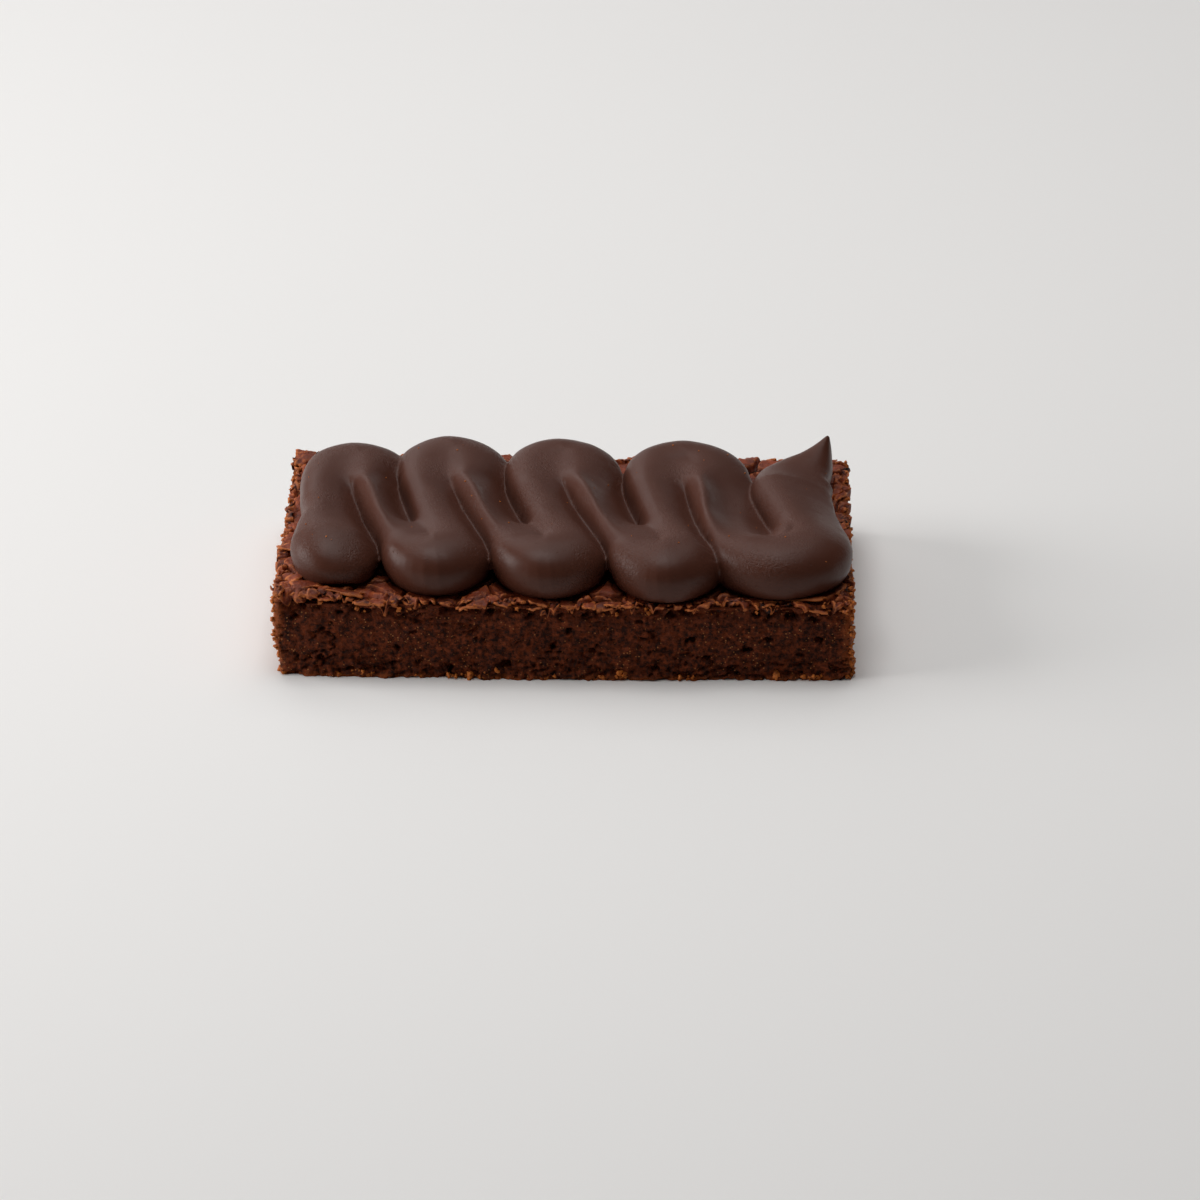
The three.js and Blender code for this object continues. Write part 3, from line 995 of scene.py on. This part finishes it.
@dataclass
class CrustFlakes:
    """Loose flakes of crust that stand up along the rim."""

    crust: PaperyCrust
    seed: int = 7
    front_count: int = 24
    end_count: int = 20
    back_count: int = 26
    shown: tuple[Flake, ...] = (
        Flake(-57.5, -33.2, 20.9, 7.5, 5.0, 8, 10, -6),
        Flake(-60.2, -29.0, 20.6, 5.0, 4.4, 40, 14, 8),
        Flake(-49.0, -35.4, 20.1, 8.5, 3.6, -8, 9, -5),
        Flake(-62.4, -12.5, 19.9, 5.2, 6.2, 70, 4, -10),
        Flake(54.0, -33.6, 18.9, 11.0, 5.6, -6, 12, 3),
        Flake(46.5, -35.2, 18.7, 6.0, 3.2, 10, 10, -6),
        Flake(60.4, -29.5, 19.0, 5.5, 6.0, 60, 8, 10),
        Flake(61.8, -21.5, 19.2, 4.6, 5.5, 85, 6, 12),
    )

    def scattered(self) -> list[Flake]:
        """Spread small flakes along the rim, with repeatable chance.

        Returns:
            The flakes.
        """
        chance = random.Random(self.seed)
        bar = self.crust.bar
        flakes = []
        for _ in range(self.front_count):
            x = chance.uniform(-63, 63)
            y = bar.front - bar.front_bow * (1 - (x / bar.half_length) ** 2) + chance.uniform(0.4, 2.0)
            flakes.append(Flake(
                x, y, self.crust.level(x, y) - chance.uniform(0.1, 0.9),
                chance.uniform(2.5, 5.0), chance.uniform(2.0, 3.6),
                chance.uniform(-20, 20), chance.uniform(-4, 14), chance.uniform(-10, 10),
            ))
        for _ in range(self.end_count):
            side = chance.choice((-1, 1))
            x = side * (bar.half_length - chance.uniform(0.8, 2.6))
            y = chance.uniform(bar.front, bar.back)
            flakes.append(Flake(
                x, y, self.crust.level(x, y) - chance.uniform(-0.1, 0.9),
                chance.uniform(1.6, 3.0), chance.uniform(2.0, 5.0),
                chance.uniform(-25, 25), chance.uniform(-8, 8), side * chance.uniform(0, 18),
            ))
        for _ in range(self.back_count):
            x = chance.uniform(-63, 63)
            y = bar.back - chance.uniform(0.4, 2.0)
            flakes.append(Flake(
                x, y, self.crust.level(x, y) - chance.uniform(0.0, 0.8),
                chance.uniform(2.5, 5.5), chance.uniform(1.4, 2.6),
                chance.uniform(-14, 14), chance.uniform(-12, 4), chance.uniform(-8, 8),
            ))
        return flakes

    @staticmethod
    def add(bm: bmesh.types.BMesh, flake: Flake, seed: float) -> None:
        """Add one flake: a thin curled sheet with a ragged rim.

        Args:
            bm: the flakes so far.
            flake: the flake.
            seed: makes its rim its own.
        """
        sheet = bmesh.new()
        bmesh.ops.create_grid(sheet, x_segments=9, y_segments=7, size=1)
        for vert in sheet.verts:
            u, v = vert.co.x, vert.co.y
            ring = max(abs(u), abs(v))
            way = Vector((u, v, 0))
            if way.length > 0:
                way = way * (ring / way.length * 0.55 + 0.45)
            ragged = 1 + 0.34 * ring * noise.noise(Vector((u * 1.9, v * 1.9, seed)))
            curl = -0.5 * ring ** 2 * (0.6 + noise.noise(Vector((u, v, seed + 9))))
            vert.co = Vector((
                way.x * ragged * flake.length / 2,
                way.y * ragged * flake.depth / 2,
                curl + 0.25 * noise.noise(Vector((u * 2, v * 2, seed + 4))),
            ))
        bmesh.ops.solidify(sheet, geom=sheet.faces[:], thickness=0.4)
        bmesh.ops.recalc_face_normals(sheet, faces=sheet.faces)
        pose = (
            Matrix.Translation((flake.x, flake.y, flake.z))
            @ Matrix.Rotation(math.radians(flake.turn), 4, "Z")
            @ Matrix.Rotation(math.radians(-flake.pitch), 4, "X")
            @ Matrix.Rotation(math.radians(-flake.roll), 4, "Y")
        )
        bmesh.ops.transform(sheet, matrix=pose, verts=sheet.verts)
        join(bm, sheet)

    def build(self, finisher: Finisher, material: bpy.types.Material) -> bpy.types.Object:
        """Make all the flakes as one piece.

        Args:
            finisher: makes the piece.
            material: the crust's finish.

        Returns:
            The flakes.
        """
        bm = bmesh.new()
        for number, flake in enumerate([*self.shown, *self.scattered()]):
            self.add(bm, flake, number * 3.7)
        return finisher.piece("crust_flakes", bm, material, "crumb", "brownie")


@dataclass
class ToastedCrumbs:
    """Crumbs that cling to the bar's foot, its ends and its rim."""

    bar: FudgeBar
    seed: int = 19
    foot_count: int = 700
    end_count: int = 420
    rim_count: int = 90

    def spots(self) -> list[tuple[Vector, float]]:
        """Spread the crumbs, with repeatable chance.

        Returns:
            Each crumb's place and radius.
        """
        chance = random.Random(self.seed)
        spots = []
        for _ in range(self.foot_count):
            point, outward = self.bar.outline(chance.random())
            size = 0.2 + 0.5 * chance.random() ** 2
            if lumps(point, 5, 81) < 0.04:
                continue
            if point.x < -62:
                point.x += self.bar.left_foot_inset
            point.z = size * 0.7 + abs(chance.gauss(0, 0.6))
            spots.append((point + outward * chance.uniform(-0.2, 0.55), size))
        for _ in range(self.end_count):
            side = chance.choice((-1, 1))
            z = chance.uniform(0.6, self.bar.top)
            y = self.bar.front + 76 * chance.random() ** 1.5
            inset = self.bar.left_foot_inset * (1 - rise(z, 0, 9)) if side < 0 else 0
            point = Vector((side * (self.bar.half_length - inset + chance.uniform(-0.3, 0.3)), y, z))
            spots.append((point, chance.uniform(0.3, 0.65)))
        for _ in range(self.rim_count):
            point, outward = self.bar.outline(chance.random())
            point.z = self.bar.top + chance.uniform(-1.8, 0.8)
            spots.append((point + outward * chance.uniform(-0.5, 0.1), chance.uniform(0.2, 0.5)))
        return spots

    def build(self, finisher: Finisher, material: bpy.types.Material) -> bpy.types.Object:
        """Make all the crumbs as one piece.

        Args:
            finisher: makes the piece.
            material: the toasted crumb's finish.

        Returns:
            The crumbs.
        """
        bm = bmesh.new()
        for number, (spot, size) in enumerate(self.spots()):
            ball = bmesh.new()
            bmesh.ops.create_icosphere(ball, subdivisions=2, radius=size)
            for vert in ball.verts:
                seed = vert.co / size * 1.1 + Vector((number * 1.7, 0, 0))
                rough = 1 + 1.2 * noise.noise(seed) + 0.6 * noise.noise(seed * 2.7)
                vert.co = spot + vert.co * rough
                vert.co.z = max(vert.co.z, 0.02)
            join(bm, ball)
        return finisher.piece("toasted_crumbs", bm, material, "crumb", "brownie")


def per_metre(size_mm: float) -> float:
    """Turn the size of a pattern in millimetres to a texture scale."""
    return 1 / (size_mm * MM)


class Finish:
    """One material while its nodes are laid out.

    Args:
        name: the material's name.
    """

    def __init__(self, name: str) -> None:
        self.material = bpy.data.materials.new(name)
        self.material.use_nodes = True
        self.tree = self.material.node_tree
        self.shader = self.tree.nodes["Principled BSDF"]
        self.place = self.tree.nodes.new("ShaderNodeTexCoord").outputs["Object"]

    def add(
        self, kind: str, out: str | int, settings: dict, links: dict | None = None
    ) -> bpy.types.NodeSocket:
        """Add one node with its settings and links.

        Args:
            kind: the node's type without its ShaderNode prefix.
            out: the output that is used, by name or number.
            settings: attributes by name, and input values by socket name or number.
            links: output sockets by the input they feed; None lets it read the place on the piece.

        Returns:
            The output.
        """
        node = self.tree.nodes.new("ShaderNode" + kind)
        for name, value in settings.items():
            if isinstance(name, str) and hasattr(node, name):
                setattr(node, name, value)
            else:
                node.inputs[name].default_value = value
        for name, output in ({"Vector": self.place} if links is None else links).items():
            self.tree.links.new(output, node.inputs[name])
        return node.outputs[out]

    def dressed(self, links: dict, numbers: dict) -> bpy.types.Material:
        """Feed the shader.

        Args:
            links: output sockets by the shader's input they feed.
            numbers: the shader's own values, the same all over the surface.

        Returns:
            The finished material.
        """
        for name, output in links.items():
            self.tree.links.new(output, self.shader.inputs[name])
        for name, value in numbers.items():
            self.shader.inputs[name].default_value = value
        return self.material


@dataclass(frozen=True)
class SetGanache:
    """Ganache that has set: cocoa butter gives it a satin skin with small bubbles."""

    deep: str = "#47261b"
    light: str = "#522e22"
    roughness: float = 0.38
    mottle_mm: float = 14.0
    wrinkle_mm: float = 0.9
    bubble_mm: float = 2.4

    def material(self) -> bpy.types.Material:
        """Make the finish.

        Returns:
            The material.
        """
        finish = Finish("set_ganache")
        add = finish.add
        mottle = add("TexNoise", "Fac", {"Scale": per_metre(self.mottle_mm), "Detail": 3.0})
        colour = add("Mix", 2, {"data_type": "RGBA", 6: linear(self.deep), 7: linear(self.light)}, {0: mottle})
        fine = add("TexNoise", "Fac", {"Scale": per_metre(self.wrinkle_mm), "Detail": 5.0, "Distortion": 1.6})
        rough = add(
            "MapRange", "Result", {"To Min": self.roughness - 0.05, "To Max": self.roughness + 0.08}, {"Value": fine}
        )
        bubbles = add("TexVoronoi", "Distance", {"Scale": per_metre(self.bubble_mm), "Randomness": 1.0})
        pits = add("MapRange", "Result", {"From Min": 0.02, "From Max": 0.09}, {"Value": bubbles})
        patches = add(
            "MapRange", "Result",
            {"From Min": 0.42, "From Max": 0.64, "To Min": 0.08, "To Max": 0.75}, {"Value": mottle},
        )
        wrinkles = add("Bump", "Normal", {"Distance": 0.35 * MM}, {"Height": fine, "Strength": patches})
        bump = add("Bump", "Normal", {"Strength": 0.5, "Distance": 0.2 * MM}, {"Height": pits, "Normal": wrinkles})
        return finish.dressed(
            {"Base Color": colour, "Roughness": rough, "Normal": bump}, {"IOR": 1.46, "Specular IOR Level": 0.24}
        )


@dataclass(frozen=True)
class FudgeCrumb:
    """Dense baked crumb, cut with a knife: dark and moist, toasted at the ends and the foot."""

    deep: str = "#2b0f06"
    light: str = "#803a1c"
    toasted: str = "#9c4f24"
    # the speck colour is partly lighter crumb grains and partly painted glints of moist crumb
    speck: str = "#d08a52"
    reddish: str = "#6c2f17"
    # the pore colour is painted shade, near black, standing in for the shadow inside small holes
    pore_shade: str = "#0e0402"
    half_length: float = 65.0
    shift: Vector = Vector((0, 0, 0))

    def material(self) -> bpy.types.Material:
        """Make the finish.

        Returns:
            The material.
        """
        finish = Finish("fudge_crumb")
        add = finish.add
        clumps = add("TexNoise", "Fac", {"Scale": per_metre(1.3), "Detail": 6.0, "Roughness": 0.7})
        contrast = add("MapRange", "Result", {"From Min": 0.4, "From Max": 0.63}, {"Value": clumps})
        look = add("Mix", 2, {"data_type": "RGBA", 6: linear(self.deep), 7: linear(self.light)}, {0: contrast})
        x = add("SeparateXYZ", "X", {}, {0: finish.place})
        z = x.node.outputs["Z"]
        waver = add("TexNoise", "Fac", {"Scale": per_metre(3.0), "Detail": 4.0})

        high = add("MapRange", "Result", {"From Min": 13.5 * MM, "From Max": 18.0 * MM}, {"Value": z})
        high_mix = add("Math", 0, {"operation": "MULTIPLY"}, {0: high, 1: waver})

        centred = add("Math", 0, {"operation": "SUBTRACT", 1: self.shift.x * MM}, {0: x})
        out = add("Math", 0, {"operation": "ABSOLUTE"}, {0: centred})
        wavering = add("Math", 0, {"operation": "MULTIPLY_ADD", 1: 3.4 * MM}, {0: waver, 2: out})
        ends = add(
            "MapRange", "Result",
            {"From Min": (self.half_length - 0.6) * MM, "From Max": (self.half_length + 1.2) * MM, "To Max": 0.85},
            {"Value": wavering},
        )
        foot_waver = add("Math", 0, {"operation": "MULTIPLY_ADD", 1: -3.0 * MM}, {0: waver, 2: z})
        foot = add("MapRange", "Result", {"From Min": -0.4 * MM, "From Max": -1.6 * MM}, {"Value": foot_waver})
        toast = add("Math", 0, {"operation": "MAXIMUM"}, {0: ends, 1: foot})

        # painted shade: noise picks spots that are darkened like shaded holes
        holes = add("TexNoise", "Fac", {"Scale": per_metre(0.8), "Detail": 3.0, "Roughness": 0.6})
        pores = add("MapRange", "Result", {"From Min": 0.42, "From Max": 0.33, "To Max": 0.85}, {"Value": holes})
        # lighter grains, partly painted glints, more of them towards the top
        grains = add("TexVoronoi", "Distance", {"Scale": per_metre(0.75), "Randomness": 1.0})
        specks = add("MapRange", "Result", {"From Min": 0.28, "From Max": 0.12, "To Max": 0.8}, {"Value": grains})
        lively = add("Math", 0, {"operation": "MULTIPLY_ADD", 1: 0.12}, {0: high, 2: grains.node.outputs["Color"]})
        chosen = add("Math", 0, {"operation": "GREATER_THAN", 1: 0.66}, {0: lively})
        specks_and_glints = add("Math", 0, {"operation": "MULTIPLY"}, {0: specks, 1: chosen})
        for colour, share in (
            (self.reddish, high_mix), (self.toasted, toast), (self.pore_shade, pores), (self.speck, specks_and_glints)
        ):
            look = add("Mix", 2, {"data_type": "RGBA", 7: linear(colour)}, {0: share, 6: look})

        fine = add("TexNoise", "Fac", {"Scale": per_metre(0.7), "Detail": 6.0, "Roughness": 0.7})
        bump = add("Bump", "Normal", {"Strength": 1.0, "Distance": 0.8 * MM}, {"Height": fine})
        return finish.dressed({"Base Color": look, "Normal": bump}, {"Roughness": 0.5, "Specular IOR Level": 0.1})


@dataclass(frozen=True)
class BakedSkin:
    """The papery skin that sugar and egg leave on a brownie: reddish, dull sheen, painted highlights on ridges,
    painted shade in hollows.
    """

    name: str = "baked_skin"
    deep: str = "#4c1b0c"
    light: str = "#8a3a1a"
    # the edge colour is a painted highlight, laid where the skin juts out
    edge: str = "#c87036"
    # the crevice colour is painted shade, laid in the skin's hollows
    crevice_shade: str = "#170804"
    roughness: float = 0.48
    grain_mm: float = 5.0

    def material(self) -> bpy.types.Material:
        """Make the finish.

        Returns:
            The material.
        """
        finish = Finish(self.name)
        add = finish.add
        broad = add("TexNoise", "Fac", {"Scale": per_metre(self.grain_mm), "Detail": 5.0, "Roughness": 0.6})
        spread = add("MapRange", "Result", {"From Min": 0.35, "From Max": 0.65}, {"Value": broad})
        look = add("Mix", 2, {"data_type": "RGBA", 6: linear(self.deep), 7: linear(self.light)}, {0: spread})
        # pointiness paints the highlight on ridges and the shade in hollows
        form = add("NewGeometry", "Pointiness", {}, {})
        for colour, none, full, most in ((self.edge, 0.52, 0.60, 0.8), (self.crevice_shade, 0.485, 0.42, 0.9)):
            share = add("MapRange", "Result", {"From Min": none, "From Max": full, "To Max": most}, {"Value": form})
            look = add("Mix", 2, {"data_type": "RGBA", 7: linear(colour)}, {0: share, 6: look})
        fine = add("TexNoise", "Fac", {"Scale": per_metre(0.7), "Detail": 5.0, "Roughness": 0.6})
        bump = add("Bump", "Normal", {"Strength": 0.8, "Distance": 0.4 * MM}, {"Height": fine})
        return finish.dressed(
            {"Base Color": look, "Normal": bump}, {"Roughness": self.roughness, "Specular IOR Level": 0.26}
        )


class Softness(Enum):
    """How wide a lamp is, in metres: the wider, the softer its shadows."""

    BROAD = 0.70
    CEILING = 1.20


@dataclass
class Studio:
    """The floor, the lamps and the camera."""

    place: Place
    focal_pixels: float = 5380.0
    frame_pixels: float = 1200.0
    sensor: float = 36.0
    elevation: float = 26.99
    azimuth: float = -1.1565
    distance: float = 1247.8
    aim: tuple[float, float, float] = (7.658, 0.296, 0.0)

    def camera(self) -> None:
        """Set the camera where the picture was taken from."""
        data = bpy.data.cameras.new("camera")
        data.sensor_width = self.sensor
        data.lens = self.sensor * self.focal_pixels / self.frame_pixels
        data.clip_end = 20
        camera = linked("camera", data)
        turn = Matrix.Rotation(math.radians(-self.azimuth), 4, "Z")
        pitch = Matrix.Rotation(math.radians(90 - self.elevation), 4, "X")
        aim = self.place.point(*self.aim)
        camera.matrix_world = Matrix.Translation(aim) @ turn @ pitch @ Matrix.Translation(
            (0, 0, self.distance * MM)
        )
        bpy.context.scene.camera = camera

    def lamp(self, name: str, at: tuple[float, float, float], softness: Softness, power: float) -> None:
        """Hang one soft square lamp that faces the bar.

        Args:
            name: the lamp's name.
            at: its place in metres.
            softness: its width.
            power: its power in watts.
        """
        data = bpy.data.lights.new(name, "AREA")
        data.size = softness.value
        data.energy = power
        lamp = linked(name, data)
        lamp.location = at
        aim = Vector((0, 0, 0.02)) - Vector(at)
        lamp.rotation_euler = aim.to_track_quat("-Z", "Y").to_euler()

    def floor(self) -> None:
        """Lay a plain pale floor that is larger than any view."""
        bm = bmesh.new()
        bmesh.ops.create_grid(bm, x_segments=1, y_segments=1, size=3)
        mesh = bpy.data.meshes.new("floor")
        bm.to_mesh(mesh)
        bm.free()
        finish = Finish("pale_board")
        cloud = finish.add("TexNoise", "Fac", {"Scale": 3.0})
        tone = finish.add("Mix", 2, {"data_type": "RGBA", 6: linear("#e9e7e5"), 7: linear("#eceae8")}, {0: cloud})
        mesh.materials.append(finish.dressed({"Base Color": tone}, {"Roughness": 0.8}))
        floor = linked("floor", mesh)

    def build(self) -> None:
        """Set up the whole studio."""
        self.floor()
        self.camera()
        self.lamp("window", (-1.0, 0.0, 0.35), Softness.BROAD, 9.5)
        self.lamp("above", (-0.1, 0.0, 1.15), Softness.BROAD, 4.8)
        self.lamp("overhead", (0.0, 0.40, 1.10), Softness.CEILING, 5.2)
        self.lamp("behind_left", (-0.45, 0.85, 0.50), Softness.BROAD, 1.2)
        self.lamp("behind", (0.0, 1.0, 0.50), Softness.CEILING, 0.8)
        world = bpy.data.worlds.new("studio")
        bpy.context.scene.world = world
        world.use_nodes = True
        sky = world.node_tree.nodes["Background"]
        sky.inputs["Color"].default_value = (1, 1, 1, 1)
        sky.inputs["Strength"].default_value = 0.03
        bpy.context.scene.view_settings.view_transform = "Standard"


def main() -> None:
    """Build the brownie in order: ribbon, bar, crust, flakes, crumbs and studio."""
    logging.basicConfig(level=logging.INFO, format="%(name)s: %(message)s")
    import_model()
    place = Place.from_part()
    finisher = Finisher(place)

    crumb = FudgeCrumb(shift=place.shift).material()
    skin = BakedSkin().material()
    # its fourth colour is a painted highlight on ridges and its fifth is painted shade in hollows
    toasted = BakedSkin("toasted_crumb", "#56210a", "#a04914", "#c8702a", "#170804", 0.5, 1.8).material()

    ribbon = GanacheRibbon()
    ribbon.lay()
    piped = ribbon.build(finisher, SetGanache().material())
    StraySpecks().build(finisher, toasted, piped)
    bar = FudgeBar()
    bar.build(finisher, crumb)
    crust = PaperyCrust(bar, ribbon)
    crust.build(finisher, skin)
    CrustFlakes(crust).build(finisher, skin)
    ToastedCrumbs(bar).build(finisher, toasted)
    Studio(place).build()


if __name__ == "__main__":
    main()
